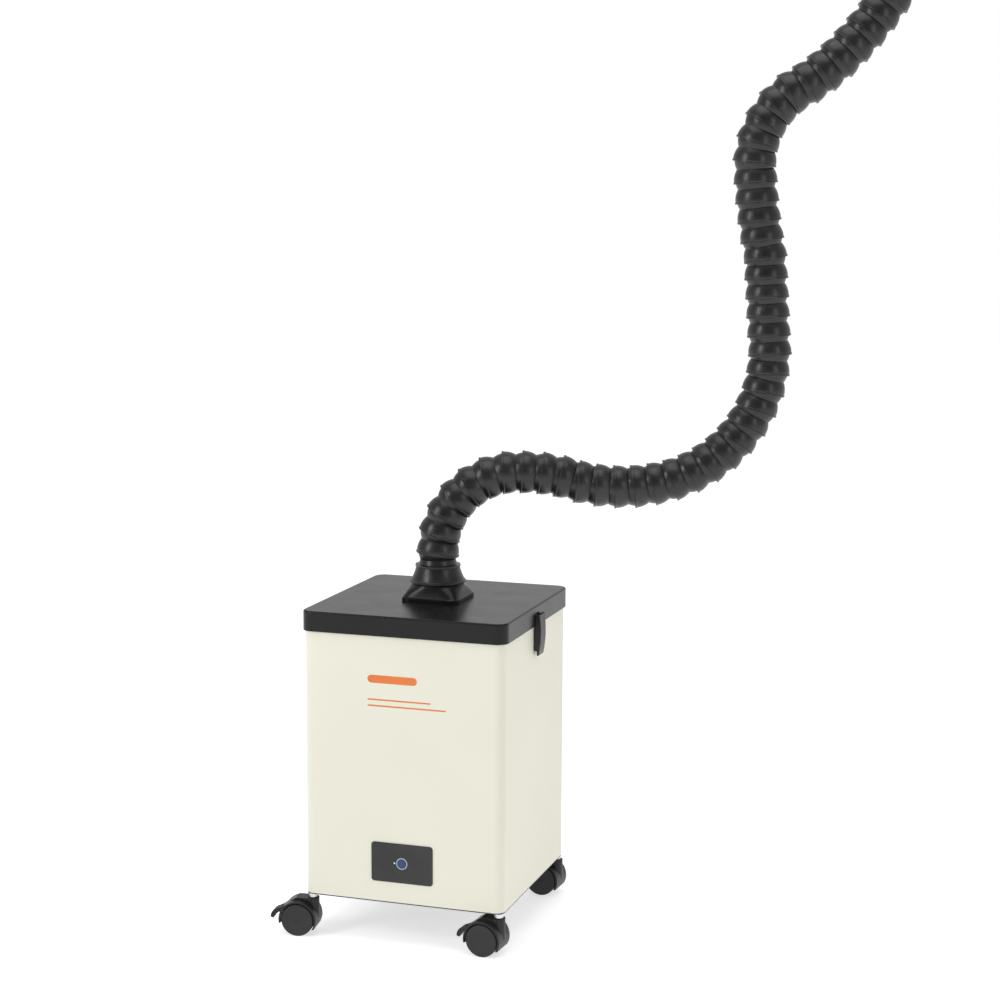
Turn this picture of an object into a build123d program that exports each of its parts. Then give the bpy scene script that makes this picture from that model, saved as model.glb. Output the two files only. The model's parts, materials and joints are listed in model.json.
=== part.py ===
from build123d import *
from math import atan2, cos, radians, sin, sqrt
import os

os.makedirs("parts", exist_ok=True)

# A solder fume extractor: a sheet-metal cabinet on four casters, a clamped lid with a duct
# flange, and a ball-and-socket arm that ends in a fume hood. Millimetres.
# Origin: on the floor under the middle of the cabinet. +Z up, -Y is the front with the control
# panel, +X is the right-hand side.

# ---------------------------------------------------------------- driving dimensions

running_gap = 0.08          # radial clearance of a pin that turns in its hole
seat_gap = 0.05             # radial clearance of a piece seated in its hole
moving_gap = 0.3            # clearance between bodies that slide or swing past each other

# Cabinet
cabinet_width = 266.0
cabinet_depth = 266.0
shell_height = 362.3
shell_wall = 1.2
corner_radius = 12.0
base_thickness = 1.5
base_inset = 0.4            # the base plate's edge stands this far inside the shell's face

# Casters
caster_height = 54.0        # floor to the underside of the base plate
stem_inset = 7.5            # stem axis to each outer face of the cabinet
stem_radius = 4.0
stem_engagement = 9.0       # length of the stem inside the caster's boss
stem_thread_rise = 7.0      # thread that stands above the base plate's underside
stem_collar_radius = 6.2
stem_collar_height = 5.5
wheel_radius = 21.0
wheel_width = 15.4
wheel_gap = 3.2             # mid-plane to the inner face of each wheel
wheel_edge_radius = 2.0
wheel_dome = 0.5            # the outer face's middle stands this far proud of its rim
trail = 16.6                # stem axis to wheel axle
axle_radius = 3.0
axle_length = 30.0
hood_gap = 1.4              # wheel tread to the hood's inner face
hood_wall = 2.2
hood_web_half = 2.6
hood_boss_radius = 8.5
spine_half_width = 9.5      # raised spine from the boss down to the brake
brake_half_width = 6.1
brake_pivot_angle = 160.0   # about the axle, from the direction opposite the trail
brake_pivot_offset = 2.4    # pivot outside the hood's outer face
brake_pin_radius = 1.0
brake_barrel_radius = 2.4
brake_ear_width = 2.0
brake_toe_gap = 1.6         # wheel tread to the released brake toe

# Lid and seal
lid_overhang = 3.0
lid_height = 25.7
lid_wall = 2.5
lid_edge_radius = 2.2
seal_thickness = 3.0
seal_width = 8.0

# Latches
latch_half_width = 11.0
latch_cheek = 2.0
latch_skin = 1.0
latch_pivot_drop = 14.3     # lid top to the latch's pivot
latch_pivot_offset = 3.4    # lid side to the latch's pivot
latch_pin_radius = 1.0
latch_ear_radius = 1.8
latch_ear_width = 3.2
latch_length = 50.0         # pivot to the finger lip's end
latch_wall_gap = 0.9        # cabinet side to the latch's cheeks
keeper_reach = 3.7
keeper_half_width = 7.0

# Duct flange and collar
flange_size = 78.0
flange_edge = 5.5
flange_height = 22.0
flange_top_radius = 32.5
flange_screw_spacing = 60.0
collar_skirt_radius = 36.0
collar_ring_radius = 29.2
collar_height = 22.7
spigot_radius = 24.0
spigot_height = 12.0
ball_above_lid = 62.7       # lid top to the first ball's centre

# Arm links
link_pitch = 24.2
ball_radius = 25.5
ball_rise = 7.0             # ball centre to its open end
bell_radius = 27.3
lip_radius = 28.0
lip_height = 2.0
mouth_drop = 5.0            # ball centre to the bell's mouth
groove_wall = 0.8           # bell wall at the groove
bore_radius = 21.3
links_per_section = 5
arm_heading = 18.1          # plan angle of the arm's plane from +X towards +Y
# The arm's standing shape: (links, bend of each link in degrees, outwards positive)
arm_bends = [(1, 7), (6, 13.5), (3, 6), (5, -6), (10, -8), (4, 0), (1, -7.5), (4, 2),
             (5, 12.5), (3, -5), (4, -3), (4, 6)]

# Fume hood
hood_neck_radius = 24.0
hood_neck_length = 8.0
hood_cone_length = 66.0
hood_mouth_radius = 72.0
hood_rim_radius = 74.5
hood_rim_length = 7.0
hood_skin = 2.0
grille_bar = 2.4
grille_thickness = 3.0
grille_rings = 3

# Control panel
panel_width = 82.0
panel_height = 51.0
panel_thickness = 1.2
panel_corner = 4.0
panel_centre_x = -0.3
panel_centre_rise = 53.0    # base plate's underside to the panel's centre
button_radius = 5.2
button_travel = 0.8
button_stem_radius = 2.0
ring_width = 2.0
ring_stand = 0.2            # the ring and the button stand this far proud of the panel
indicator_radius = 1.0
indicator_offset = 9.8
panel_window_radius = 12.0

# Filters, from the deck upwards
deck_rise = 100.0           # base plate's underside to the deck's underside
deck_thickness = 1.5
filter_gap = 2.8            # filter side to the shell's inner face
carbon_height = 60.0
hepa_height = 120.0
fine_height = 20.0
pre_height = 10.0
filter_frame = 5.0
pleat_count = 24
pleat_rise = 7.2            # thickness of the pleated media, measured upright
pleat_margin = 3.0          # the pleats stay this far inside the frame's faces

# Blower
housing_radius = 98.0
housing_height = 62.0
housing_wall = 2.0
inlet_radius = 50.0
outlet_width = 120.0
impeller_radius = 80.0
impeller_height = 44.0
impeller_disc = 2.0
blade_count = 24
blade_length = 20.0
blade_thickness = 1.6
hub_radius = 12.0
hub_height = 30.0
motor_radius = 40.0
motor_height = 34.0
shaft_radius = 4.0
shaft_seat = 24.0           # length of the shaft inside the motor
impeller_clearance = 4.0    # housing floor to the impeller disc

# Rear face
grille_plate_margin = 8.0
grille_plate_thickness = 2.0
slot_width = 4.0
slot_pitch = 8.0
inlet_centre_x = -90.0
inlet_centre_rise = 32.0
inlet_cavity = (24.5, 16.5, 14.0)
inlet_wall = 2.0
inlet_flange = (40.0, 28.0, 2.0)
inlet_pin = (2.0, 5.0, 8.0)

# Boards and screws
board_thickness = 1.6
power_board_size = (58.0, 92.0)
power_board_x = -84.0
standoff_height = 4.0
control_board_size = (56.0, 34.0)
control_board_offset = 9.2  # shell's inner face to the control board
screw_radius = 1.9
screw_head_radius = 3.4
screw_head_height = 1.8

# ---------------------------------------------------------------- derived sizes

base_z = caster_height
shell_z = base_z + base_thickness
shell_top = shell_z + shell_height
lid_roof_z = shell_top + seal_thickness
lid_top = lid_roof_z + lid_wall
lid_width = cabinet_width + 2 * lid_overhang
lid_depth = cabinet_depth + 2 * lid_overhang
lid_side_x = lid_width / 2
front_y = -cabinet_depth / 2
rear_y = cabinet_depth / 2
inner_width = cabinet_width - 2 * shell_wall
inner_depth = cabinet_depth - 2 * shell_wall
deck_z = base_z + deck_rise
bay_z = deck_z + deck_thickness
socket_radius = ball_radius + moving_gap
housing_z = deck_z - housing_height
panel_z = base_z + panel_centre_rise

pieces = {}


# ---------------------------------------------------------------- cabinet

with BuildPart() as cabinet_shell:
    with BuildSketch(Plane.XY.offset(shell_z)):
        RectangleRounded(cabinet_width, cabinet_depth, corner_radius)
        RectangleRounded(inner_width, inner_depth, corner_radius - shell_wall, mode=Mode.SUBTRACT)
    extrude(amount=shell_height)
    # window behind the control panel
    with BuildSketch(Plane.XZ.offset(-front_y)):
        with Locations((panel_centre_x, panel_z)):
            Circle(panel_window_radius)
    extrude(amount=-2 * shell_wall, mode=Mode.SUBTRACT)
    # exhaust and mains openings in the rear face
    with BuildSketch(Plane.XZ.offset(-rear_y)):
        with Locations((0, housing_z + housing_height / 2)):
            Rectangle(outlet_width - 2 * housing_wall, housing_height - 2 * housing_wall)
        with Locations((inlet_centre_x, base_z + inlet_centre_rise)):
            Rectangle(inlet_cavity[0] + 2 * inlet_wall, inlet_cavity[1] + 2 * inlet_wall)
    extrude(amount=2 * shell_wall, mode=Mode.SUBTRACT)
pieces["cabinet_shell"] = cabinet_shell

stem_x = cabinet_width / 2 - stem_inset
stem_y = cabinet_depth / 2 - stem_inset
stem_spots = [(sx * stem_x, sy * stem_y) for sx in (-1, 1) for sy in (-1, 1)]
screw_inset = 14.0
screw_spots = [(sx * (cabinet_width / 2 - screw_inset), sy * cabinet_depth / 4)
               for sx in (-1, 1) for sy in (-1, 1)]

with BuildPart() as base_plate:
    with BuildSketch(Plane.XY.offset(base_z)):
        RectangleRounded(cabinet_width - 2 * base_inset, cabinet_depth - 2 * base_inset,
                         corner_radius - base_inset)
        with Locations(*stem_spots):
            Circle(stem_radius + seat_gap, mode=Mode.SUBTRACT)
        with Locations(*screw_spots):
            Circle(screw_radius + seat_gap, mode=Mode.SUBTRACT)
    extrude(amount=base_thickness)
pieces["base_plate"] = base_plate

with BuildPart() as base_screws:
    with BuildSketch(Plane.XY.offset(base_z)):
        with Locations(*screw_spots):
            Circle(screw_head_radius)
    extrude(amount=-screw_head_height)
    fillet(base_screws.edges().group_by(Axis.Z)[0], 0.7)
    with BuildSketch(Plane.XY.offset(base_z)):
        with Locations(*screw_spots):
            Circle(screw_radius)
    extrude(amount=base_thickness + 2.5)
pieces["base_screws"] = base_screws

with BuildPart() as filter_deck:
    with BuildSketch(Plane.XY.offset(deck_z)):
        RectangleRounded(inner_width, inner_depth, corner_radius)
        Circle(inlet_radius, mode=Mode.SUBTRACT)
    extrude(amount=deck_thickness)
pieces["filter_deck"] = filter_deck

# ---------------------------------------------------------------- filters

filter_width = inner_width - 2 * filter_gap
filter_depth = inner_depth - 2 * filter_gap
filter_corner = corner_radius - shell_wall - filter_gap
carbon_z = bay_z
hepa_z = carbon_z + carbon_height
fine_z = hepa_z + hepa_height
pre_z = fine_z + fine_height

with BuildPart() as carbon_filter:
    with BuildSketch(Plane.XY.offset(carbon_z)):
        RectangleRounded(filter_width, filter_depth, filter_corner)
    extrude(amount=carbon_height)
    # perforated faces of the carbon cassette
    with BuildSketch(Plane.XY.offset(carbon_z + carbon_height)):
        with GridLocations(22, 22, 10, 10):
            Circle(7)
    extrude(amount=-3, mode=Mode.SUBTRACT)
pieces["carbon_filter"] = carbon_filter

with BuildPart() as hepa_frame:
    with BuildSketch(Plane.XY.offset(hepa_z)):
        RectangleRounded(filter_width, filter_depth, filter_corner)
        Rectangle(filter_width - 2 * filter_frame, filter_depth - 2 * filter_frame,
                  mode=Mode.SUBTRACT)
    extrude(amount=hepa_height)
pieces["hepa_frame"] = hepa_frame

pleat_span = filter_width - 2 * filter_frame
pleat_step = pleat_span / (2 * pleat_count)
pleat_depth = hepa_height - 2 * pleat_margin - pleat_rise


def pleat_line(rise):
    """Zigzag across the HEPA frame, its folds at top and bottom in turn."""
    low = hepa_z + pleat_margin
    return [(-pleat_span / 2 + i * pleat_step, low + rise + (pleat_depth if i % 2 else 0))
            for i in range(2 * pleat_count + 1)]


with BuildPart() as hepa_pleats:
    with BuildSketch(Plane.XZ):
        with BuildLine():
            Polyline(*pleat_line(0), *reversed(pleat_line(pleat_rise)), close=True)
        make_face()
    extrude(amount=filter_depth / 2 - filter_frame, both=True)
pieces["hepa_pleats"] = hepa_pleats

with BuildPart() as fine_filter:
    with BuildSketch(Plane.XY.offset(fine_z)):
        RectangleRounded(filter_width, filter_depth, filter_corner)
    extrude(amount=fine_height)
    with BuildSketch(Plane.XY.offset(fine_z + fine_height)):
        Rectangle(filter_width - 2 * filter_frame, filter_depth - 2 * filter_frame)
    extrude(amount=-2, mode=Mode.SUBTRACT)
pieces["fine_filter"] = fine_filter

with BuildPart() as pre_filter:
    with BuildSketch(Plane.XY.offset(pre_z)):
        RectangleRounded(filter_width, filter_depth, filter_corner)
    extrude(amount=pre_height)
    fillet(pre_filter.edges().group_by(Axis.Z)[-1], 2)
pieces["pre_filter"] = pre_filter

# ---------------------------------------------------------------- blower

housing_top = housing_z + housing_height
floor_z = housing_z + housing_wall

with BuildPart() as blower_housing:
    with BuildSketch(Plane.XY.offset(housing_z)):
        Circle(housing_radius)
        with Locations((0, inner_depth / 4)):
            Rectangle(outlet_width, inner_depth / 2)
    extrude(amount=housing_height)
    with BuildSketch(Plane.XY.offset(floor_z)):
        Circle(housing_radius - housing_wall)
        with Locations((0, inner_depth / 4)):
            Rectangle(outlet_width - 2 * housing_wall, inner_depth / 2)
    extrude(amount=housing_height - 2 * housing_wall, mode=Mode.SUBTRACT)
    with BuildSketch(Plane.XY.offset(housing_top)):
        Circle(inlet_radius)
    extrude(amount=-2 * housing_wall, mode=Mode.SUBTRACT)
    with BuildSketch(Plane.XY.offset(housing_z)):
        Circle(2 * shaft_radius)
    extrude(amount=2 * housing_wall, mode=Mode.SUBTRACT)
pieces["blower_housing"] = blower_housing

with BuildPart() as motor:
    with BuildSketch(Plane.XY.offset(housing_z)):
        Circle(motor_radius)
    extrude(amount=-motor_height)
    fillet(motor.edges().group_by(Axis.Z)[0], 4)
    with BuildSketch(Plane.XY.offset(housing_z)):
        Circle(shaft_radius + running_gap)
    extrude(amount=-shaft_seat - moving_gap, mode=Mode.SUBTRACT)
pieces["motor"] = motor

impeller_z = floor_z + impeller_clearance

with BuildPart() as motor_shaft:
    with BuildSketch(Plane.XY.offset(housing_z - shaft_seat)):
        Circle(shaft_radius)
    extrude(amount=shaft_seat + housing_wall + impeller_clearance + hub_height + 4)
    chamfer(motor_shaft.edges().group_by(Axis.Z)[-1], 0.8)
pieces["motor_shaft"] = motor_shaft

with BuildPart() as impeller:
    with BuildSketch(Plane.XY.offset(impeller_z)):
        Circle(impeller_radius)
    extrude(amount=impeller_disc)
    with BuildSketch(Plane.XY.offset(impeller_z)):
        with PolarLocations(impeller_radius - blade_length / 2, blade_count):
            Rectangle(blade_length, blade_thickness, rotation=35)
    extrude(amount=impeller_height)
    with BuildSketch(Plane.XY.offset(impeller_z + impeller_height)):
        Circle(impeller_radius)
        Circle(impeller_radius - blade_length / 2, mode=Mode.SUBTRACT)
    extrude(amount=-impeller_disc)
    with BuildSketch(Plane.XY.offset(impeller_z)):
        Circle(hub_radius)
    extrude(amount=hub_height)
    with BuildSketch(Plane.XY.offset(impeller_z)):
        Circle(shaft_radius + seat_gap)
    extrude(amount=hub_height, mode=Mode.SUBTRACT)
pieces["impeller"] = impeller

# ---------------------------------------------------------------- rear face

with BuildPart() as exhaust_grille:
    with BuildSketch(Plane.XZ.offset(-rear_y)):
        with Locations((0, housing_z + housing_height / 2)):
            RectangleRounded(outlet_width + 2 * grille_plate_margin,
                             housing_height + 2 * grille_plate_margin, 4)
            with GridLocations(slot_pitch, 0, int((outlet_width - slot_pitch) / slot_pitch), 1):
                SlotOverall(housing_height - 3 * housing_wall, slot_width, rotation=90,
                            mode=Mode.SUBTRACT)
    extrude(amount=-grille_plate_thickness)
pieces["exhaust_grille"] = exhaust_grille

inlet_z = base_z + inlet_centre_rise
rear_plane = Plane(origin=(inlet_centre_x, rear_y, inlet_z), x_dir=(-1, 0, 0), z_dir=(0, 1, 0))
cavity_width, cavity_height, cavity_depth = inlet_cavity

with BuildPart() as inlet_socket:
    with BuildSketch(rear_plane):
        RectangleRounded(inlet_flange[0], inlet_flange[1], 3)
    extrude(amount=inlet_flange[2])
    with BuildSketch(rear_plane):
        Rectangle(cavity_width + 2 * inlet_wall, cavity_height + 2 * inlet_wall)
    extrude(amount=inlet_flange[2] - cavity_depth - inlet_wall)
    with BuildSketch(rear_plane.offset(inlet_flange[2])):
        with BuildLine():
            # rectangle with its two upper corners cut off, as on a three-pin inlet
            Polyline((-cavity_width / 2, -cavity_height / 2), (cavity_width / 2, -cavity_height / 2),
                     (cavity_width / 2, cavity_height / 4), (cavity_width / 3, cavity_height / 2),
                     (-cavity_width / 3, cavity_height / 2), (-cavity_width / 2, cavity_height / 4),
                     close=True)
        make_face()
    extrude(amount=-cavity_depth, mode=Mode.SUBTRACT)
pieces["inlet_socket"] = inlet_socket

with BuildPart() as inlet_pins:
    with BuildSketch(rear_plane.offset(inlet_flange[2] - cavity_depth)):
        with Locations((-7, -2), (0, 2.5), (7, -2)):
            Rectangle(inlet_pin[0], inlet_pin[1])
    extrude(amount=inlet_pin[2])
pieces["inlet_pins"] = inlet_pins

# ---------------------------------------------------------------- boards

board_z = shell_z + standoff_height
board_width, board_length = power_board_size

with BuildPart() as power_board:
    with BuildSketch(Plane.XY.offset(board_z)):
        with Locations((power_board_x, 0)):
            Rectangle(board_width, board_length)
    extrude(amount=board_thickness)
    with BuildSketch(Plane.XY.offset(shell_z)):
        with Locations((power_board_x, 0)):
            with GridLocations(board_width - 8, board_length - 8, 2, 2):
                Circle(2.5)
    extrude(amount=standoff_height)
    # transformer, capacitors and terminal block
    with BuildSketch(Plane.XY.offset(board_z + board_thickness)):
        with Locations((power_board_x - 10, 22)):
            Rectangle(26, 24)
    extrude(amount=18)
    with BuildSketch(Plane.XY.offset(board_z + board_thickness)):
        with Locations((power_board_x + 14, 26), (power_board_x + 14, 8)):
            Circle(6)
    extrude(amount=16)
    with BuildSketch(Plane.XY.offset(board_z + board_thickness)):
        with Locations((power_board_x, -34)):
            Rectangle(40, 10)
    extrude(amount=10)
pieces["power_board"] = power_board

board_y = front_y + shell_wall + control_board_offset
board_plane = Plane(origin=(panel_centre_x, board_y, panel_z), x_dir=(1, 0, 0), z_dir=(0, -1, 0))
button_stem_end = front_y + shell_wall + 1.8
switch_depth = board_y - (button_stem_end + button_travel + moving_gap)

with BuildPart() as control_board:
    with BuildSketch(board_plane):
        Rectangle(*control_board_size)
    extrude(amount=-board_thickness)
    with BuildSketch(board_plane):
        with GridLocations(control_board_size[0] - 8, control_board_size[1] - 8, 2, 2):
            Circle(2)
    extrude(amount=control_board_offset)
    with BuildSketch(board_plane):
        Rectangle(7, 7)
    extrude(amount=switch_depth)
pieces["control_board"] = control_board

# ---------------------------------------------------------------- control panel

panel_plane = Plane(origin=(panel_centre_x, front_y, panel_z), x_dir=(1, 0, 0), z_dir=(0, -1, 0))
ring_inner = button_radius + moving_gap
ring_outer = ring_inner + ring_width

with BuildPart() as panel_fascia:
    with BuildSketch(panel_plane):
        RectangleRounded(panel_width, panel_height, panel_corner)
        Circle(ring_outer, mode=Mode.SUBTRACT)
        with Locations((-indicator_offset, 0)):
            Circle(indicator_radius, mode=Mode.SUBTRACT)
    extrude(amount=panel_thickness)
    fillet(panel_fascia.faces().sort_by(Axis.Y)[0].outer_wire().edges(), 0.4)
pieces["panel_fascia"] = panel_fascia

with BuildPart() as light_ring:
    with BuildSketch(panel_plane.offset(-shell_wall)):
        Circle(ring_outer - seat_gap)
        Circle(ring_inner, mode=Mode.SUBTRACT)
    extrude(amount=shell_wall + panel_thickness + ring_stand)
pieces["light_ring"] = light_ring

with BuildPart() as indicator_lens:
    with BuildSketch(panel_plane):
        with Locations((-indicator_offset, 0)):
            Circle(indicator_radius - seat_gap)
    extrude(amount=panel_thickness + ring_stand)
    fillet(indicator_lens.edges().group_by(Axis.Y)[0], 0.3)
pieces["indicator_lens"] = indicator_lens

with BuildPart() as power_button:
    with BuildSketch(panel_plane.offset(-shell_wall)):
        Circle(button_radius)
    extrude(amount=shell_wall + panel_thickness + button_travel + ring_stand)
    fillet(power_button.edges().group_by(Axis.Y)[0], 0.5)
    with BuildSketch(panel_plane.offset(-shell_wall)):
        Circle(button_stem_radius)
    extrude(amount=front_y + shell_wall - button_stem_end)
pieces["power_button"] = power_button

# ---------------------------------------------------------------- lid

lid_corner = corner_radius + lid_overhang
lid_inner_width = lid_width - 2 * lid_wall
lid_inner_depth = lid_depth - 2 * lid_wall
flange_screw_spots = GridLocations(flange_screw_spacing, flange_screw_spacing, 2, 2)

with BuildPart() as lid:
    with BuildSketch(Plane.XY.offset(lid_top)):
        RectangleRounded(lid_width, lid_depth, lid_corner)
    extrude(amount=-lid_height)
    fillet(lid.edges().group_by(Axis.Z)[-1], lid_edge_radius)
    with BuildSketch(Plane.XY.offset(lid_roof_z)):
        RectangleRounded(lid_inner_width, lid_inner_depth, lid_corner - lid_wall)
    extrude(amount=-lid_height, mode=Mode.SUBTRACT)
    with BuildSketch(Plane.XY.offset(lid_roof_z)):
        Circle(bore_radius)
        with flange_screw_spots:
            Circle(screw_radius + seat_gap)
    extrude(amount=2 * lid_wall, mode=Mode.SUBTRACT)
pieces["lid"] = lid

with BuildPart() as lid_seal:
    with BuildSketch(Plane.XY.offset(shell_top)):
        RectangleRounded(cabinet_width, cabinet_depth, corner_radius)
        RectangleRounded(cabinet_width - 2 * seal_width, cabinet_depth - 2 * seal_width,
                         corner_radius - seal_width / 2, mode=Mode.SUBTRACT)
    extrude(amount=seal_thickness)
pieces["lid_seal"] = lid_seal

# ---------------------------------------------------------------- duct flange and collar

flare_steps = 4
flare_height = flange_height - flange_edge


def flare_section(step):
    """Half width and corner radius of the flange's concave flare at one step of its height."""
    share = step / flare_steps
    half = flange_top_radius + (flange_size / 2 - 1 - flange_top_radius) * (1 - share) ** 2
    corner = 5 + (flange_top_radius - 5.05) * share ** 0.7
    return half, min(corner, half - 0.05)


with BuildPart() as duct_flange:
    with BuildSketch(Plane.XY.offset(lid_top)):
        RectangleRounded(flange_size, flange_size, 6)
    extrude(amount=flange_edge)
    for step in range(flare_steps + 1):
        half, corner = flare_section(step)
        with BuildSketch(Plane.XY.offset(lid_top + flange_edge + step * flare_height / flare_steps)):
            RectangleRounded(2 * half, 2 * half, corner)
    loft()
    with BuildSketch(Plane.XY.offset(lid_top + flange_height)):
        Circle(spigot_radius)
    extrude(amount=spigot_height)
    with BuildSketch(Plane.XY.offset(lid_top)):
        Circle(bore_radius)
    extrude(amount=flange_height + spigot_height, mode=Mode.SUBTRACT)
    with BuildSketch(Plane.XY.offset(lid_top)):
        with flange_screw_spots:
            Circle(screw_radius + seat_gap)
    extrude(amount=flange_edge - 1.5, mode=Mode.SUBTRACT)
pieces["duct_flange"] = duct_flange

with BuildPart() as flange_screws:
    with BuildSketch(Plane.XY.offset(lid_roof_z)):
        with flange_screw_spots:
            Circle(screw_head_radius)
    extrude(amount=-screw_head_height)
    with BuildSketch(Plane.XY.offset(lid_roof_z)):
        with flange_screw_spots:
            Circle(screw_radius)
    extrude(amount=lid_wall + flange_edge - 2)
pieces["flange_screws"] = flange_screws

first_ball_z = lid_top + ball_above_lid
collar_z = lid_top + flange_height + moving_gap
ring_z = collar_z + collar_height
ball_open_radius = sqrt(ball_radius ** 2 - ball_rise ** 2)
# The groove lies where the ball's sphere meets the sphere one thin wall outside the socket.
groove_reach = socket_radius + groove_wall
groove_z = (link_pitch ** 2 + groove_reach ** 2 - ball_radius ** 2) / (2 * link_pitch)
groove_radius = sqrt(groove_reach ** 2 - groove_z ** 2)
groove_drop = link_pitch - groove_z        # groove to the ball's centre above it


def ball_outline(centre_z):
    """Outer edge of a ball from the groove under it to its open end, then down into the bore."""
    ThreePointArc((groove_radius, centre_z - groove_drop), (ball_radius, centre_z),
                  (ball_open_radius, centre_z + ball_rise))
    Polyline((ball_open_radius, centre_z + ball_rise), (bore_radius + 1.2, centre_z + ball_rise),
             (bore_radius, centre_z + ball_rise - 2.5))


with BuildPart() as duct_collar:
    with BuildSketch(Plane.XZ):
        with BuildLine():
            Polyline((spigot_radius + moving_gap, collar_z), (collar_skirt_radius, collar_z),
                     (collar_skirt_radius, collar_z + 2.5), (collar_skirt_radius - 1.4, collar_z + 3.4))
            ThreePointArc((collar_skirt_radius - 1.4, collar_z + 3.4),
                          (collar_ring_radius + 1.6, collar_z + 0.5 * collar_height),
                          (collar_ring_radius - 0.8, ring_z - 3.2))
            Polyline((collar_ring_radius - 0.8, ring_z - 3.2), (collar_ring_radius, ring_z - 2.6),
                     (collar_ring_radius, ring_z), (groove_radius + 1.6, ring_z + 0.8),
                     (groove_radius, first_ball_z - groove_drop))
            ball_outline(first_ball_z)
            Polyline((bore_radius, first_ball_z + ball_rise - 2.5),
                     (bore_radius, collar_z + spigot_height + moving_gap),
                     (spigot_radius + moving_gap, collar_z + spigot_height + moving_gap),
                     (spigot_radius + moving_gap, collar_z))
        make_face()
    revolve(axis=Axis.Z)
pieces["duct_collar"] = duct_collar

# ---------------------------------------------------------------- arm

mouth_inner = sqrt(socket_radius ** 2 - mouth_drop ** 2)
socket_top = sqrt(socket_radius ** 2 - bore_radius ** 2)
dome_turn = atan2(groove_z, groove_radius) / 2
dome_mid = (bell_radius + groove_reach) / 2


def bell_outline():
    """Socket, mouth, lip and dome of a bell, from the bore round to the groove."""
    ThreePointArc((bore_radius, socket_top), (socket_radius, 0), (mouth_inner, -mouth_drop))
    Polyline((mouth_inner, -mouth_drop), (lip_radius - 0.3, -mouth_drop),
             (lip_radius, -mouth_drop + 0.4), (lip_radius, -mouth_drop + lip_height),
             (bell_radius, -mouth_drop + lip_height + 0.8), (bell_radius, 0))
    ThreePointArc((bell_radius, 0), (dome_mid * cos(dome_turn), dome_mid * sin(dome_turn)),
                  (groove_radius, groove_z))


with BuildPart() as arm_link:
    with BuildSketch(Plane.XZ):
        with BuildLine():
            bell_outline()
            ball_outline(link_pitch)
            Line((bore_radius, link_pitch + ball_rise - 2.5), (bore_radius, socket_top))
        make_face()
    revolve(axis=Axis.Z)

arm_out = Vector(cos(radians(arm_heading)), sin(radians(arm_heading)), 0)
arm_side = Vector(-sin(radians(arm_heading)), cos(radians(arm_heading)), 0)

# Each link stands on the ball of the link before it, turned by its own bend.
link_planes = []
ball_centre = Vector(0, 0, first_ball_z)
lean = 0.0
for count, bend in arm_bends:
    for _ in range(count):
        lean += bend
        direction = arm_out * sin(radians(lean)) + Vector(0, 0, cos(radians(lean)))
        link_planes.append(Plane(origin=ball_centre, x_dir=arm_side, z_dir=direction))
        ball_centre = ball_centre + direction * link_pitch
lean += arm_bends[-1][1]
hood_direction = arm_out * sin(radians(lean)) + Vector(0, 0, cos(radians(lean)))
hood_plane = Plane(origin=ball_centre, x_dir=arm_side, z_dir=hood_direction)

for first in range(0, len(link_planes), links_per_section):
    with BuildPart() as arm_section:
        with Locations(*link_planes[first:first + links_per_section]):
            add(arm_link.part)
    pieces[f"arm_section_{first // links_per_section + 1:02d}"] = arm_section

# ---------------------------------------------------------------- fume hood

neck_z = groove_z + 3
cone_z = neck_z + hood_neck_length
rim_z = cone_z + hood_cone_length
mouth_z = rim_z + hood_rim_length

with BuildPart() as hood_shape:
    with BuildSketch(Plane.XZ):
        with BuildLine():
            bell_outline()
            Polyline((groove_radius, groove_z), (hood_neck_radius, neck_z),
                     (hood_neck_radius, cone_z))
            ThreePointArc((hood_neck_radius, cone_z),
                          (0.5 * (hood_neck_radius + hood_mouth_radius) - 3,
                           cone_z + 0.5 * hood_cone_length + 3),
                          (hood_mouth_radius, rim_z))
            Polyline((hood_mouth_radius, rim_z), (hood_rim_radius, rim_z + 0.5),
                     (hood_rim_radius, mouth_z), (hood_mouth_radius - hood_skin, mouth_z),
                     (hood_mouth_radius - hood_skin, rim_z + 0.5))
            ThreePointArc((hood_mouth_radius - hood_skin, rim_z + 0.5),
                          (0.5 * (hood_neck_radius + hood_mouth_radius) - 3 - 0.75 * hood_skin,
                           cone_z + 0.5 * hood_cone_length + 3 + 0.75 * hood_skin),
                          (bore_radius, cone_z + 2))
            Line((bore_radius, cone_z + 2), (bore_radius, socket_top))
        make_face()
    revolve(axis=Axis.Z)

with BuildPart() as grille_shape:
    grille_radius = hood_mouth_radius - hood_skin - seat_gap
    with BuildSketch(Plane.XY.offset(mouth_z - grille_thickness - 1)):
        for ring in range(grille_rings + 1):
            radius = grille_radius * (ring + 1) / (grille_rings + 1)
            Circle(radius)
            Circle(radius - grille_bar, mode=Mode.SUBTRACT)
        with PolarLocations(0, 3):
            Rectangle(2 * grille_radius - grille_bar, grille_bar)
    extrude(amount=grille_thickness)

with BuildPart() as hood:
    with Locations(hood_plane):
        add(hood_shape.part)
pieces["hood"] = hood

with BuildPart() as hood_grille:
    with Locations(hood_plane):
        add(grille_shape.part)
pieces["hood_grille"] = hood_grille

# ---------------------------------------------------------------- latches

pivot_x = lid_side_x + latch_pivot_offset
pivot_z = lid_top - latch_pivot_drop
latch_radius = latch_pivot_offset - moving_gap
cheek_x = cabinet_width / 2 + latch_wall_gap
lip_z = pivot_z - latch_length
cheek_end_z = lip_z + 5.5
lid_bottom = lid_top - lid_height
bulge_x = pivot_x + latch_radius + 0.4
keeper_z = pivot_z - 28.0
hook_x = cabinet_width / 2 + keeper_reach + moving_gap
latch_half_inner = latch_half_width - latch_cheek
pin_half_length = latch_half_width - latch_cheek / 2       # the pin ends inside the cheeks

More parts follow.
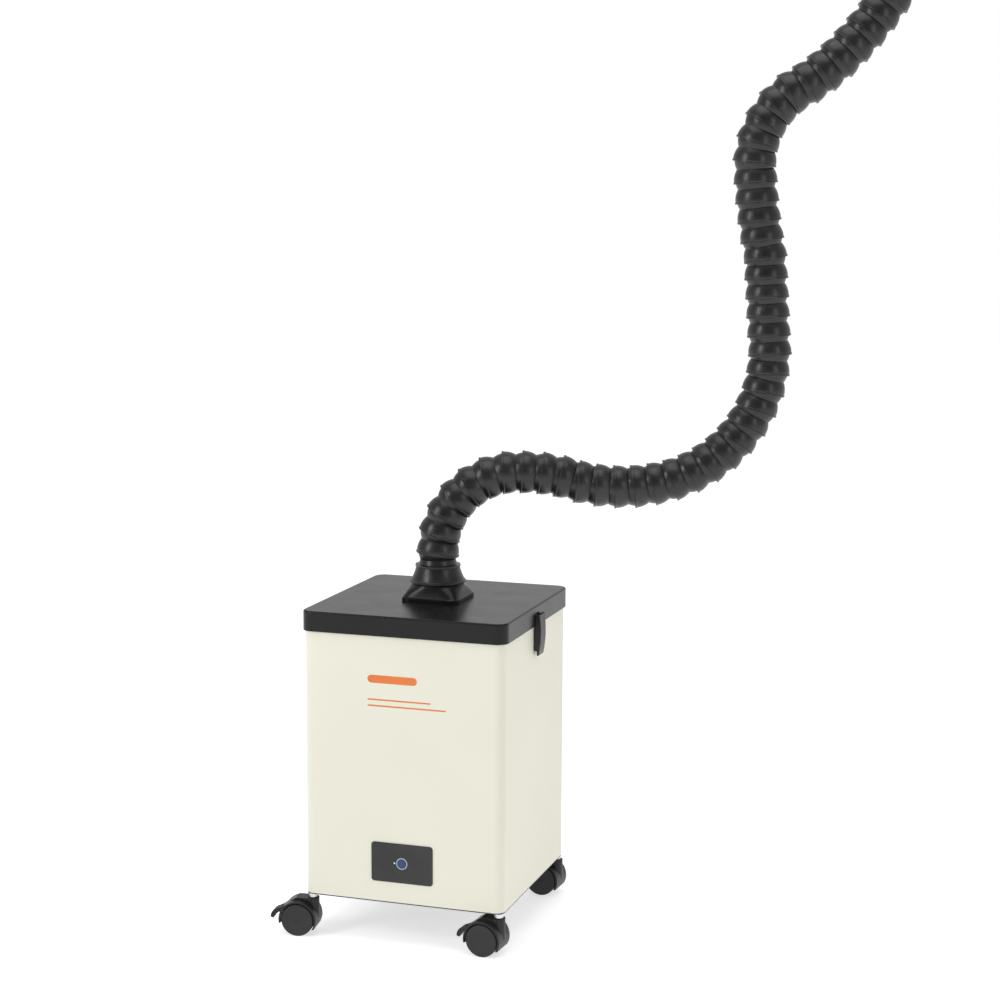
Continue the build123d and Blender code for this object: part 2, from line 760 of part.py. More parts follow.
with BuildPart() as right_latch_lever:
    with BuildSketch(Plane.XZ):
        with BuildLine():
            ThreePointArc((pivot_x - latch_radius, pivot_z),
                          (pivot_x - 0.3 * latch_radius, pivot_z + 0.95 * latch_radius),
                          (pivot_x + 0.6 * latch_radius, pivot_z + 0.8 * latch_radius))
            ThreePointArc((pivot_x + 0.6 * latch_radius, pivot_z + 0.8 * latch_radius),
                          (bulge_x, pivot_z - 0.45 * latch_length), (pivot_x + 0.4, lip_z))
            Polyline((pivot_x + 0.4, lip_z), (pivot_x - 1.8, lip_z), (pivot_x - 1.6, cheek_end_z),
                     (cheek_x, cheek_end_z + 1), (cheek_x, lid_bottom - 1.2),
                     (pivot_x - latch_radius, lid_bottom - 1.2), (pivot_x - latch_radius, pivot_z))
        make_face()
    extrude(amount=latch_half_width, both=True)
    fillet(right_latch_lever.edges().filter_by(Plane.XZ).group_by(Axis.X)[-1], 0.8)
    # channel between the cheeks, open towards the cabinet
    with BuildSketch(Plane.XZ):
        with BuildLine():
            ThreePointArc((pivot_x + latch_radius - latch_skin, pivot_z),
                          (bulge_x - latch_skin, pivot_z - 0.45 * latch_length),
                          (pivot_x + 0.4, lip_z + 3))
            Polyline((pivot_x + 0.4, lip_z + 3), (cheek_x - 2, lip_z + 3),
                     (cheek_x - 2, pivot_z + 2 * latch_radius),
                     (pivot_x + 1, pivot_z + 2 * latch_radius))
            Line((pivot_x + 1, pivot_z + 2 * latch_radius),
                 (pivot_x + latch_radius - latch_skin, pivot_z))
        make_face()
    extrude(amount=latch_half_inner, both=True, mode=Mode.SUBTRACT)
    # hook bar that bears on the keeper
    with BuildSketch(Plane.XZ):
        with Locations((hook_x, keeper_z - 3.5)):
            Rectangle(bulge_x - latch_skin / 2 - hook_x, 3, align=(Align.MIN, Align.MAX))
    extrude(amount=latch_half_inner, both=True)
    with BuildSketch(Plane.XZ):
        with Locations((pivot_x, pivot_z)):
            Circle(latch_pin_radius + running_gap)
    extrude(amount=pin_half_length + seat_gap, both=True, mode=Mode.SUBTRACT)
pieces["right_latch_lever"] = right_latch_lever

with BuildPart() as left_latch_lever:
    mirror(right_latch_lever.part, about=Plane.YZ)
pieces["left_latch_lever"] = left_latch_lever

ear_y = latch_half_inner - moving_gap - latch_ear_width / 2

with BuildPart() as latch_brackets:
    for y in (-ear_y, ear_y):
        with BuildSketch(Plane.XZ.offset(-y)):
            with Locations((pivot_x, pivot_z)):
                Circle(latch_ear_radius)
            with Locations((lid_side_x, pivot_z)):
                Rectangle(latch_pivot_offset, 2 * latch_ear_radius, align=(Align.MIN, Align.CENTER))
            with Locations((pivot_x, pivot_z)):
                Circle(latch_pin_radius + seat_gap, mode=Mode.SUBTRACT)
        extrude(amount=latch_ear_width / 2, both=True)
    mirror(about=Plane.YZ)
pieces["latch_brackets"] = latch_brackets

with BuildPart() as latch_pins:
    with BuildSketch(Plane.XZ):
        with Locations((pivot_x, pivot_z), (-pivot_x, pivot_z)):
            Circle(latch_pin_radius)
    extrude(amount=pin_half_length, both=True)
pieces["latch_pins"] = latch_pins

with BuildPart() as latch_keepers:
    with BuildSketch(Plane.XZ):
        with BuildLine():
            wall_x = cabinet_width / 2
            Polyline((wall_x, keeper_z - 8), (wall_x + 1.2, keeper_z - 8), (wall_x + 1.2, keeper_z - 3),
                     (wall_x + keeper_reach, keeper_z - 2), (wall_x + keeper_reach, keeper_z),
                     (wall_x + 1.2, keeper_z + 2), (wall_x + 1.2, keeper_z + 5),
                     (wall_x, keeper_z + 5), close=True)
        make_face()
    extrude(amount=keeper_half_width, both=True)
    mirror(about=Plane.YZ)
pieces["latch_keepers"] = latch_keepers

# ---------------------------------------------------------------- casters
# Made once with the stem's axis on Z and the wheels trailing towards -X, then set at each corner.

axle_x = -trail
axle_z = wheel_radius
well_radius = wheel_radius + hood_gap
hood_radius = well_radius + hood_wall
wheel_outer_y = wheel_gap + wheel_width
boss_top = caster_height - stem_collar_height
spine_rise = boss_top - moving_gap - axle_z
side_plane = Plane(origin=(axle_x, 0, axle_z), x_dir=(1, 0, 0), z_dir=(0, -1, 0))

with BuildPart() as caster_hood:
    with BuildSketch(side_plane):
        Circle(hood_radius)
    extrude(amount=wheel_outer_y, both=True)
    fillet(caster_hood.edges().filter_by(GeomType.CIRCLE), 1.2)
    # boss that takes the stem, and a spine that slopes from it down to the brake
    with BuildSketch(Plane.XY.offset(axle_z)):
        Circle(hood_boss_radius)
    extrude(amount=boss_top - moving_gap - axle_z)
    with BuildSketch(side_plane):
        with BuildLine():
            Polyline((0, 0), (-0.95 * hood_radius, 0.3 * hood_radius),
                     (-hood_radius, 0.5 * hood_radius), (-0.15 * hood_radius, spine_rise),
                     (trail, spine_rise), (hood_radius - 1, 0), close=True)
        make_face()
    extrude(amount=spine_half_width, both=True)
    # wheel wells either side of the web
    for side in (1, -1):
        with BuildSketch(side_plane.offset(side * hood_web_half)):
            Circle(well_radius)
        extrude(amount=side * 2 * wheel_outer_y, mode=Mode.SUBTRACT)
    # open underside: level at the trailing side, lower at the leading side
    with BuildSketch(side_plane):
        with BuildLine():
            Polyline((-2 * hood_radius, -4.5), (-hood_radius + 6, -4.5), (-6.5, -7), (6.5, -7),
                     (hood_radius - 5, -11.5), (2 * hood_radius, -11.5),
                     (2 * hood_radius, -2 * hood_radius), (-2 * hood_radius, -2 * hood_radius),
                     close=True)
        make_face()
    extrude(amount=2 * wheel_outer_y, both=True, mode=Mode.SUBTRACT)
    with BuildSketch(side_plane):
        Circle(axle_radius + running_gap)
    extrude(amount=wheel_outer_y, both=True, mode=Mode.SUBTRACT)
    with BuildSketch(Plane.XY.offset(boss_top)):
        Circle(stem_radius + running_gap)
    extrude(amount=-stem_engagement - 2 * moving_gap, mode=Mode.SUBTRACT)

pivot_reach = hood_radius + brake_pivot_offset
brake_x = pivot_reach * cos(radians(brake_pivot_angle))
brake_z = pivot_reach * sin(radians(brake_pivot_angle))
ear_outer = brake_half_width + moving_gap + brake_ear_width
toe_radius = wheel_radius + brake_toe_gap

with BuildPart() as braked_hood:
    add(caster_hood.part)
    # slot for the brake lever, with an ear on each side for its trunnions
    with BuildSketch(side_plane):
        with Locations((-hood_radius, -8)):
            Rectangle(2 * hood_wall + 6, 22.5, align=(Align.CENTER, Align.MIN))
    extrude(amount=brake_half_width + moving_gap, both=True, mode=Mode.SUBTRACT)
    for side in (1, -1):
        with BuildSketch(side_plane.offset(side * (brake_half_width + moving_gap))):
            with Locations((brake_x, brake_z)):
                Circle(brake_barrel_radius + 0.4)
                Rectangle(hood_wall + brake_pivot_offset, 2 * brake_barrel_radius,
                          rotation=brake_pivot_angle - 180, align=(Align.MIN, Align.CENTER))
            with Locations((brake_x, brake_z)):
                Circle(brake_pin_radius + running_gap, mode=Mode.SUBTRACT)
        extrude(amount=side * brake_ear_width)

with BuildPart() as brake_lever:
    # pedal, barrel and toe
    with BuildSketch(side_plane):
        with Locations((brake_x, brake_z)):
            Circle(brake_barrel_radius)
        with BuildLine():
            ThreePointArc((brake_x - 0.6, brake_z + 2.3), (brake_x - 9.4, brake_z - 1.8),
                          (brake_x - 12.8, brake_z - 10.6))
            Polyline((brake_x - 12.8, brake_z - 10.6), (brake_x - 9.0, brake_z - 12.0))
            ThreePointArc((brake_x - 9.0, brake_z - 12.0), (brake_x - 5.0, brake_z - 6.2),
                          (brake_x + 0.2, brake_z - 2.2))
            Line((brake_x + 0.2, brake_z - 2.2), (brake_x - 0.6, brake_z + 2.3))
        make_face()
        with BuildLine():
            Polyline((brake_x - 1.6, brake_z - 1), (brake_x + 0.4, brake_z - 5.4),
                     (-sqrt(toe_radius ** 2 - (brake_z - 5) ** 2), brake_z - 5),
                     (-sqrt(toe_radius ** 2 - (brake_z - 1.5) ** 2), brake_z - 1.5),
                     (brake_x + 1.6, brake_z + 1), close=True)
        make_face()
    extrude(amount=brake_half_width, both=True)
    with BuildSketch(side_plane):
        with Locations((brake_x, brake_z)):
            Circle(brake_pin_radius)
    extrude(amount=ear_outer, both=True)

with BuildPart() as wheel_pair:
    with BuildSketch(Plane.XY):
        with BuildLine():
            Polyline((axle_radius + seat_gap, wheel_gap), (wheel_radius - 1, wheel_gap),
                     (wheel_radius, wheel_gap + 1), (wheel_radius, wheel_outer_y - wheel_edge_radius))
            TangentArc((wheel_radius, wheel_outer_y - wheel_edge_radius),
                       (wheel_radius - wheel_edge_radius, wheel_outer_y), tangent=(0, 1))
            TangentArc((0, wheel_outer_y + wheel_dome),
                       (wheel_radius - wheel_edge_radius, wheel_outer_y), tangent=(1, 0))
            Polyline((0, wheel_outer_y + wheel_dome), (0, axle_length / 2 + seat_gap),
                     (axle_radius + seat_gap, axle_length / 2 + seat_gap),
                     (axle_radius + seat_gap, wheel_gap))
        make_face()
    revolve(axis=Axis.Y)
    mirror(about=Plane.XZ)

with BuildPart() as axle:
    with BuildSketch(side_plane):
        Circle(axle_radius)
    extrude(amount=axle_length / 2, both=True)

# corner: (side, end, swivel about the stem in degrees, has a brake)
caster_corners = {
    "front_left": (-1, -1, 8.0, True),
    "front_right": (1, -1, -4.0, True),
    "rear_left": (-1, 1, -4.0, False),
    "rear_right": (1, 1, -4.0, False),
}

for corner, (side, end, swivel, braked) in caster_corners.items():
    place = Location((side * stem_x, end * stem_y, 0), (0, 0, swivel))
    with BuildPart() as placed_hood:
        with Locations(place):
            add(braked_hood.part if braked else caster_hood.part)
    pieces[f"{corner}_caster_hood"] = placed_hood
    with BuildPart() as placed_wheels:
        with Locations(place * Location((axle_x, 0, axle_z))):
            add(wheel_pair.part)
    pieces[f"{corner}_wheels"] = placed_wheels
    with BuildPart() as placed_axle:
        with Locations(place):
            add(axle.part)
    pieces[f"{corner}_axle"] = placed_axle
    if braked:
        with BuildPart() as placed_brake:
            with Locations(place):
                add(brake_lever.part)
        pieces[f"{corner}_brake_lever"] = placed_brake

with BuildPart() as caster_stems:
    with BuildSketch(Plane.XY.offset(boss_top)):
        with Locations(*stem_spots):
            Circle(stem_collar_radius)
    extrude(amount=stem_collar_height)
    chamfer(caster_stems.edges().group_by(Axis.Z)[0], 0.6)
    with BuildSketch(Plane.XY.offset(boss_top - stem_engagement)):
        with Locations(*stem_spots):
            Circle(stem_radius)
    extrude(amount=stem_engagement + stem_collar_height + stem_thread_rise)
pieces["caster_stems"] = caster_stems

# ---------------------------------------------------------------- export

for name, piece in pieces.items():
    piece.part.label = name
    export_step(piece.part, f"parts/{name}.step")
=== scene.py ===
import json
import math

import bmesh
import bpy
from mathutils import Matrix, Vector


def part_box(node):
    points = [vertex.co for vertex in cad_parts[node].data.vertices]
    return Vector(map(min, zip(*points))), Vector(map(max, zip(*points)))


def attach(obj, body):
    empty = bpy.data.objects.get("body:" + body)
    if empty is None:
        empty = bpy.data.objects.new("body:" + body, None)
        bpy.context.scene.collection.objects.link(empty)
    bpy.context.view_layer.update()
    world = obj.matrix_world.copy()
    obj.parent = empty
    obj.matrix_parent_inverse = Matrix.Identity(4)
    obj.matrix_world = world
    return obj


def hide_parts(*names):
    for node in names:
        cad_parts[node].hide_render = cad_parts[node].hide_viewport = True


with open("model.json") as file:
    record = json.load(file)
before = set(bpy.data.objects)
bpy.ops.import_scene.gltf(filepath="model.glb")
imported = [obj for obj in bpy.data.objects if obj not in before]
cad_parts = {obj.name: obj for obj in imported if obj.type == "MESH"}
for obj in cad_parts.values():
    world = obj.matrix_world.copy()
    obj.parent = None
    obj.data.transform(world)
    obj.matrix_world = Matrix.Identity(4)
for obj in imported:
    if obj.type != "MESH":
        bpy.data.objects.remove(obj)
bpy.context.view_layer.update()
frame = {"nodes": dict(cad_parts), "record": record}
nodes = frame["nodes"]
scene = bpy.context.scene


# ---------------------------------------------------------------- camera

CAMERA_PLACE = Vector((0.9397, -2.6166, 0.9683))
CAMERA_YAW = math.radians(18.113)       # turned from +Y towards -X
CAMERA_PITCH = math.radians(8.525)      # looking down
CAMERA_ROLL = math.radians(0.255)
CAMERA_LENS = 78.66


def add_camera():
    cos_y, sin_y = math.cos(CAMERA_YAW), math.sin(CAMERA_YAW)
    cos_p, sin_p = math.cos(CAMERA_PITCH), math.sin(CAMERA_PITCH)
    ahead = Vector((-sin_y * cos_p, cos_y * cos_p, -sin_p))
    level = Vector((cos_y, sin_y, 0))
    above = level.cross(ahead)
    right = level * math.cos(CAMERA_ROLL) + above * math.sin(CAMERA_ROLL)
    up = right.cross(ahead)
    turn = Matrix((right, up, -ahead)).transposed()
    data = bpy.data.cameras.new("camera")
    data.lens = CAMERA_LENS
    data.sensor_width = 36.0
    camera = bpy.data.objects.new("camera", data)
    camera.matrix_world = Matrix.Translation(CAMERA_PLACE) @ turn.to_4x4()
    scene.collection.objects.link(camera)
    scene.camera = camera


add_camera()
scene.view_settings.view_transform = "Standard"


# ---------------------------------------------------------------- materials

def new_material(name):
    """A node material: its tree, its shader and its object coordinates."""
    material = bpy.data.materials.new(name)
    material.use_nodes = True
    tree = material.node_tree
    shader = tree.nodes["Principled BSDF"]
    coordinates = tree.nodes.new("ShaderNodeTexCoord")
    return material, tree, shader, coordinates.outputs["Object"]


def noise(tree, vector, scale, detail=3.0, stretch=None):
    """Noise at a scale in cycles per metre, stretched along an axis if asked."""
    if stretch:
        mapping = tree.nodes.new("ShaderNodeMapping")
        mapping.inputs["Scale"].default_value = stretch
        tree.links.new(vector, mapping.inputs["Vector"])
        vector = mapping.outputs["Vector"]
    texture = tree.nodes.new("ShaderNodeTexNoise")
    texture.inputs["Scale"].default_value = scale
    texture.inputs["Detail"].default_value = detail
    tree.links.new(vector, texture.inputs["Vector"])
    return texture.outputs["Fac"]


def spread(tree, value, low, high):
    """A noise value laid out between two numbers."""
    ranger = tree.nodes.new("ShaderNodeMapRange")
    ranger.inputs["From Min"].default_value = 0.3
    ranger.inputs["From Max"].default_value = 0.7
    ranger.inputs["To Min"].default_value = low
    ranger.inputs["To Max"].default_value = high
    tree.links.new(value, ranger.inputs["Value"])
    return ranger.outputs["Result"]


def tint(tree, value, dark, light):
    """A noise value laid out between two colours."""
    ramp = tree.nodes.new("ShaderNodeValToRGB")
    ramp.color_ramp.elements[0].position = 0.35
    ramp.color_ramp.elements[1].position = 0.65
    ramp.color_ramp.elements[0].color = (*dark, 1)
    ramp.color_ramp.elements[1].color = (*light, 1)
    tree.links.new(value, ramp.inputs["Fac"])
    return ramp.outputs["Color"]


def bump(tree, shader, height, distance, strength=1.0):
    node = tree.nodes.new("ShaderNodeBump")
    node.inputs["Distance"].default_value = distance
    node.inputs["Strength"].default_value = strength
    tree.links.new(height, node.inputs["Height"])
    tree.links.new(node.outputs["Normal"], shader.inputs["Normal"])


def textured(name, dark, light, rough, grain, depth, patch=9.0, metallic=0.0, stretch=None,
             strength=0.5):
    """A surface whose colour and roughness drift in patches and whose grain is a fine bump."""
    material, tree, shader, place = new_material(name)
    patches = noise(tree, place, patch, 2.0)
    tree.links.new(tint(tree, patches, dark, light), shader.inputs["Base Color"])
    wear = noise(tree, place, patch * 6, 4.0)
    tree.links.new(spread(tree, wear, *rough), shader.inputs["Roughness"])
    bump(tree, shader, noise(tree, place, grain, 2.0, stretch), depth, strength)
    shader.inputs["Metallic"].default_value = metallic
    return material, tree, shader, place


def grey(value, warm=0.0):
    return (value * (1 + warm), value, value * (1 - warm))


def cream_paint():
    """Fine orange-peel powder coat."""
    material, tree, shader, place = textured(
        "cream_paint", (0.79, 0.78, 0.66), (0.81, 0.80, 0.68), (0.42, 0.5), 900, 0.00004, 5)
    shader.inputs["Specular IOR Level"].default_value = 0.4
    return material


def lid_plastic():
    material, tree, shader, place = textured(
        "lid_black", grey(0.008), grey(0.010), (0.26, 0.3), 2600, 0.00001, 4)
    shader.inputs["Specular IOR Level"].default_value = 0.25
    return material


def arm_plastic():
    """Moulded black plastic, polished by handling in patches."""
    material, tree, shader, place = textured(
        "arm_black", grey(0.0085, 0.04), grey(0.014, 0.04), (0.28, 0.38), 1500, 0.00003, 25)
    shader.inputs["Specular IOR Level"].default_value = 0.5
    return material


def plain_plastic(name, value, rough, grain=1800, depth=0.00005):
    material, tree, shader, place = textured(
        name, grey(value * 0.88), grey(value * 1.12), rough, grain, depth, 20)
    shader.inputs["Specular IOR Level"].default_value = 0.3
    return material


def zinc_steel():
    return textured("zinc_steel", (0.62, 0.62, 0.63), (0.8, 0.8, 0.8), (0.22, 0.36), 900, 0.00003,
                    40, 1.0, (1, 1, 12))[0]


def cast_aluminium():
    return textured("motor_aluminium", (0.45, 0.45, 0.46), (0.6, 0.6, 0.62), (0.4, 0.55), 700,
                    0.0002, 30, 1.0)[0]


def black_steel():
    return textured("black_steel", grey(0.02), grey(0.03), (0.45, 0.6), 1200, 0.00008, 12)[0]


def brass():
    return textured("pin_brass", (0.7, 0.52, 0.22), (0.85, 0.68, 0.35), (0.2, 0.32), 1500, 0.00002,
                    60, 1.0)[0]


def fleece():
    """Loose white fibres, lying every way."""
    material, tree, shader, place = textured(
        "filter_fleece", (0.72, 0.74, 0.72), (0.88, 0.89, 0.87), (0.85, 0.95), 700, 0.0012, 60,
        strength=0.8)
    shader.inputs["Sheen Weight"].default_value = 0.3
    return material


def card():
    return textured("filter_card", (0.42, 0.31, 0.2), (0.55, 0.42, 0.28), (0.75, 0.9), 500, 0.0002,
                    30, 0.0, (1, 1, 0.1))[0]


def pleat_paper():
    return textured("filter_paper", (0.8, 0.8, 0.77), (0.92, 0.92, 0.9), (0.8, 0.92), 900, 0.0001,
                    50)[0]


def carbon():
    return textured("carbon_cassette", grey(0.012), grey(0.035), (0.6, 0.9), 400, 0.0006, 120)[0]


def board():
    """Green solder mask over copper tracks."""
    material, tree, shader, place = new_material("board_green")
    tracks = tree.nodes.new("ShaderNodeTexVoronoi")
    tracks.distance = "MANHATTAN"
    tracks.inputs["Scale"].default_value = 260
    tree.links.new(place, tracks.inputs["Vector"])
    tree.links.new(tint(tree, tracks.outputs["Distance"], (0.01, 0.09, 0.04), (0.02, 0.17, 0.07)),
                   shader.inputs["Base Color"])
    shader.inputs["Roughness"].default_value = 0.3
    bump(tree, shader, tracks.outputs["Distance"], 0.0001)
    return material


def foam():
    return textured("seal_foam", grey(0.03), grey(0.055), (0.85, 0.95), 1500, 0.0005, 60)[0]


def glowing(name, colour, glow, strength):
    material, tree, shader, place = textured(
        name, tuple(c * 0.9 for c in colour), colour, (0.25, 0.35), 2500, 0.00002, 200)
    shader.inputs["Emission Color"].default_value = (*glow, 1)
    shader.inputs["Emission Strength"].default_value = strength
    return material


RING_GLOW_WIDTH = 0.0011
RING_GLOW_FADE = 0.0002                 # over which the glow falls to nothing
RING_GLOW_STRENGTH = 0.55


def ring_light():
    """Dark blue plastic whose outer edge alone is lit."""
    material, tree, shader, place = textured(
        "ring_light", (0.012, 0.02, 0.05), (0.016, 0.028, 0.07), (0.3, 0.4), 2500, 0.00002, 200)
    low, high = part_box("light_ring")
    centre = (low + high) / 2
    flat = tree.nodes.new("ShaderNodeVectorMath")
    flat.operation = "MULTIPLY_ADD"
    flat.inputs[1].default_value = (1, 0, 1)
    flat.inputs[2].default_value = (-centre.x, 0, -centre.z)
    reach = tree.nodes.new("ShaderNodeVectorMath")
    reach.operation = "LENGTH"
    lit = tree.nodes.new("ShaderNodeMapRange")
    lit_from = (high.x - low.x) / 2 - RING_GLOW_WIDTH
    lit.inputs["From Min"].default_value = lit_from - RING_GLOW_FADE
    lit.inputs["From Max"].default_value = lit_from
    lit.inputs["To Max"].default_value = RING_GLOW_STRENGTH
    tree.links.new(place, flat.inputs[0])
    tree.links.new(flat.outputs["Vector"], reach.inputs[0])
    tree.links.new(reach.outputs["Value"], lit.inputs["Value"])
    tree.links.new(lit.outputs["Result"], shader.inputs["Emission Strength"])
    shader.inputs["Emission Color"].default_value = (0.62, 0.74, 1.0, 1)
    return material


MATERIALS = {
    "cream_paint": cream_paint(),
    "black_steel": black_steel(),
    "zinc_steel": zinc_steel(),
    "filter_fleece": fleece(),
    "filter_card": card(),
    "filter_paper": pleat_paper(),
    "carbon_cassette": carbon(),
    "housing_plastic": plain_plastic("housing_plastic", 0.06, (0.4, 0.55)),
    "motor_aluminium": cast_aluminium(),
    "grille_plastic": plain_plastic("grille_plastic", 0.018, (0.38, 0.5)),
    "board_green": board(),
    "pin_brass": brass(),
    "panel_black": plain_plastic("panel_black", 0.036, (0.4, 0.5), 2600, 0.00002),
    "ring_light": ring_light(),
    "indicator_white": glowing("indicator_white", (0.8, 0.85, 0.9), (0.8, 0.9, 1.0), 0.5),
    "button_blue": glowing("button_blue", (0.02, 0.035, 0.09), (0.02, 0.08, 0.4), 0.15),
    "lid_black": lid_plastic(),
    "seal_foam": foam(),
    "latch_black": plain_plastic("latch_black", 0.02, (0.32, 0.42), 1800, 0.00002),
    "arm_black": arm_plastic(),
    "caster_black": plain_plastic("caster_black", 0.018, (0.36, 0.46), 1800, 0.00003),
    "wheel_black": plain_plastic("wheel_black", 0.026, (0.42, 0.52), 1800, 0.00003),
}

for subpart in frame["record"]["subparts"]:
    node = nodes[subpart["node"]]
    node.data.materials.clear()
    node.data.materials.append(MATERIALS[subpart["material_slot"]])


# ---------------------------------------------------------------- generic front mark

shell_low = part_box("cabinet_shell")[0]
MARK_RISE = 0.252                        # shell's lower edge to the lowest bar
MARK_LEFT = -0.046
BAR_THICKNESS = 0.00015
# (length, height, rise above the lowest bar) of each bar
MARK_BARS = [(0.104, 0.0018, 0.0), (0.084, 0.0018, 0.0078), (0.066, 0.0100, 0.030)]


def rounded_bar(mesh, left, low, length, height, y, thickness, steps=8):
    """A flat bar with round ends, lying in the plane y and facing -Y."""
    radius = height / 2
    ring = []
    for centre, start in ((left + length - radius, -90), (left + radius, 90)):
        for i in range(steps + 1):
            angle = math.radians(start + 180 * i / steps)
            ring.append((centre + radius * math.cos(angle), low + radius + radius * math.sin(angle)))
    front = [mesh.verts.new((x, y - thickness, z)) for x, z in ring]
    back = [mesh.verts.new((x, y, z)) for x, z in ring]
    mesh.faces.new(front)
    mesh.faces.new(list(reversed(back)))
    for i in range(len(ring)):
        j = (i + 1) % len(ring)
        mesh.faces.new((front[i], back[i], back[j], front[j]))


def add_mark():
    mesh = bmesh.new()
    for length, height, rise in MARK_BARS:
        rounded_bar(mesh, MARK_LEFT, shell_low.z + MARK_RISE + rise, length, height, shell_low.y,
                    BAR_THICKNESS)
    bmesh.ops.recalc_face_normals(mesh, faces=mesh.faces)
    data = bpy.data.meshes.new("front_mark")
    mesh.to_mesh(data)
    mesh.free()
    piece = bpy.data.objects.new("front_mark", data)
    scene.collection.objects.link(piece)
    data.materials.append(textured("mark_orange", (0.72, 0.17, 0.03), (0.8, 0.21, 0.04),
                                   (0.4, 0.5), 2000, 0.00002)[0])
    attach(piece, "cabinet")


add_mark()


# ---------------------------------------------------------------- duct flange

FLANGE_EDGE = 0.0055                    # thickness of the square foot
FLANGE_HEIGHT = 0.022
FLANGE_TOP_RADIUS = 0.0345
FLANGE_FLARE_STEPS = 14
FLANGE_SQUARENESS = 8                   # superellipse power of the foot; 2 is a circle
FLANGE_BEVEL = 0.0009
SPIGOT_RADIUS = 0.024                   # the sleeve that goes up into the collar
SPIGOT_WALL = 0.0027
SMOOTH_ANGLE = math.radians(32)         # sharper edges than this stay sharp


def flange_levels(foot, half, spigot_top):
    """(height, half width, squareness) of each ring, from the outer foot up and into the bore."""
    edge = foot + FLANGE_EDGE
    top = foot + FLANGE_HEIGHT
    levels = [(foot, half - 0.4 * FLANGE_BEVEL, FLANGE_SQUARENESS),
              (foot + 0.4 * FLANGE_BEVEL, half, FLANGE_SQUARENESS),
              (edge - FLANGE_BEVEL, half, FLANGE_SQUARENESS),
              (edge, half - FLANGE_BEVEL, FLANGE_SQUARENESS)]
    for i in range(1, FLANGE_FLARE_STEPS + 1):
        rise = i / FLANGE_FLARE_STEPS
        width = FLANGE_TOP_RADIUS + (half - FLANGE_BEVEL - FLANGE_TOP_RADIUS) * (1 - rise) ** 2
        power = 2 + (FLANGE_SQUARENESS - 2) * (1 - rise) ** 1.6
        levels.append((edge + (top - FLANGE_BEVEL - edge) * rise, width, power))
    bore = SPIGOT_RADIUS - SPIGOT_WALL
    levels += [(top, FLANGE_TOP_RADIUS - FLANGE_BEVEL, 2), (top, SPIGOT_RADIUS, 2),
               (spigot_top, SPIGOT_RADIUS, 2), (spigot_top, bore, 2), (foot, bore, 2)]
    return levels


def superellipse(half, power, turns=96):
    for i in range(turns):
        angle = 2 * math.pi * i / turns
        x, y = math.cos(angle), math.sin(angle)
        reach = half / (abs(x) ** power + abs(y) ** power) ** (1 / power)
        yield reach * x, reach * y


def add_flange():
    low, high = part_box("duct_flange")
    middle = (low + high) / 2
    mesh = bmesh.new()
    rings = []
    for z, half, power in flange_levels(low.z, (high.x - low.x) / 2, high.z):
        rings.append([mesh.verts.new((middle.x + x, middle.y + y, z))
                      for x, y in superellipse(half, power)])
    for below, above in zip(rings, rings[1:] + rings[:1]):
        for i in range(len(below)):
            j = (i + 1) % len(below)
            mesh.faces.new((below[i], below[j], above[j], above[i]))
    bmesh.ops.recalc_face_normals(mesh, faces=mesh.faces)
    data = bpy.data.meshes.new("flange_body")
    mesh.to_mesh(data)
    mesh.free()
    piece = bpy.data.objects.new("flange_body", data)
    scene.collection.objects.link(piece)
    data.shade_smooth()
    data.set_sharp_from_angle(angle=SMOOTH_ANGLE)
    data.materials.append(MATERIALS["lid_black"])
    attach(piece, "lid")
    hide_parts("duct_flange")


add_flange()


# ---------------------------------------------------------------- stage

FLOOR_GLOW = 0.62                        # keeps the shadows on the floor faint


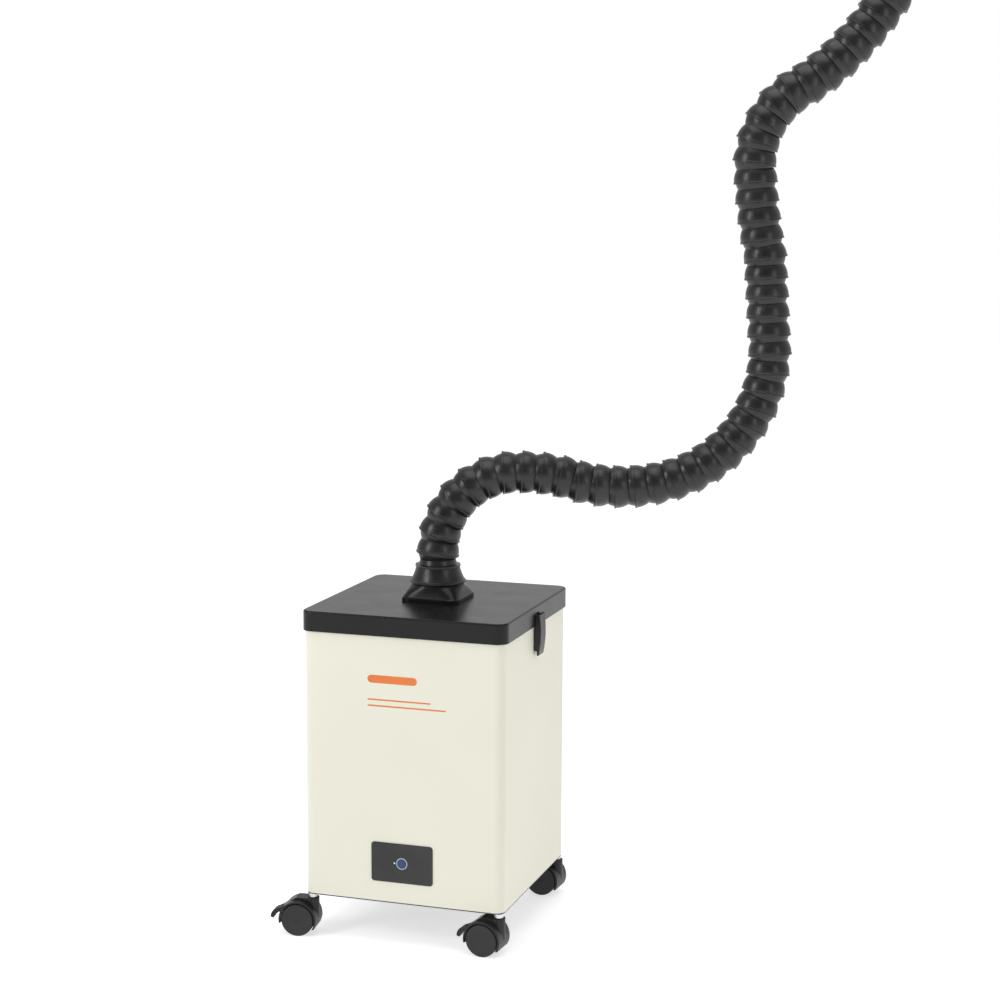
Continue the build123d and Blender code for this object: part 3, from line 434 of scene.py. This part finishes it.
def add_floor():
    mesh = bmesh.new()
    bmesh.ops.create_grid(mesh, x_segments=1, y_segments=1, size=15)
    data = bpy.data.meshes.new("floor")
    mesh.to_mesh(data)
    mesh.free()
    floor = bpy.data.objects.new("floor", data)
    scene.collection.objects.link(floor)
    material, tree, shader, place = new_material("floor_white")
    shader.inputs["Base Color"].default_value = (0.8, 0.8, 0.8, 1)
    shader.inputs["Roughness"].default_value = 0.9
    shader.inputs["Specular IOR Level"].default_value = 0.1
    shader.inputs["Emission Color"].default_value = (1, 1, 1, 1)
    shader.inputs["Emission Strength"].default_value = FLOOR_GLOW
    data.materials.append(material)


def add_area(name, place, target, size, power):
    data = bpy.data.lights.new(name, "AREA")
    data.shape = "RECTANGLE"
    data.size, data.size_y = size
    data.energy = power
    lamp = bpy.data.objects.new(name, data)
    lamp.location = place
    aim = Vector(target) - Vector(place)
    lamp.rotation_euler = aim.to_track_quat("-Z", "Y").to_euler()
    scene.collection.objects.link(lamp)


def add_world(front, back):
    """White to look at; as a light it is dim in front of the object and brighter behind it."""
    world = bpy.data.worlds.new("studio")
    scene.world = world
    world.use_nodes = True
    tree = world.node_tree
    background = tree.nodes["Background"]
    background.inputs["Color"].default_value = (1, 1, 1, 1)
    direction = tree.nodes.new("ShaderNodeTexCoord")
    split = tree.nodes.new("ShaderNodeSeparateXYZ")
    fade = tree.nodes.new("ShaderNodeMapRange")
    fade.inputs["From Min"].default_value = -1
    fade.inputs["From Max"].default_value = 1
    fade.inputs["To Min"].default_value = front
    fade.inputs["To Max"].default_value = back
    rays = tree.nodes.new("ShaderNodeLightPath")
    seen = tree.nodes.new("ShaderNodeMix")
    seen.inputs["B"].default_value = 1
    tree.links.new(direction.outputs["Generated"], split.inputs["Vector"])
    tree.links.new(split.outputs["Y"], fade.inputs["Value"])
    tree.links.new(fade.outputs["Result"], seen.inputs["A"])
    tree.links.new(rays.outputs["Is Camera Ray"], seen.inputs["Factor"])
    tree.links.new(seen.outputs["Result"], background.inputs["Strength"])


LIGHT_TARGET = (0.1, 0.0, 0.5)
# (name, place, size, power in watts) of each softbox
SOFTBOXES = [("key", (-1.9, -2.3, 1.9), (0.9, 2.0), 36),
             ("fill", (2.9, -1.6, 1.5), (0.8, 1.8), 10),
             ("top", (0.2, -0.3, 3.4), (2.4, 2.4), 30)]

add_floor()
for name, place, size, power in SOFTBOXES:
    add_area(name, place, LIGHT_TARGET, size, power)
add_world(front=0.15, back=0.8)
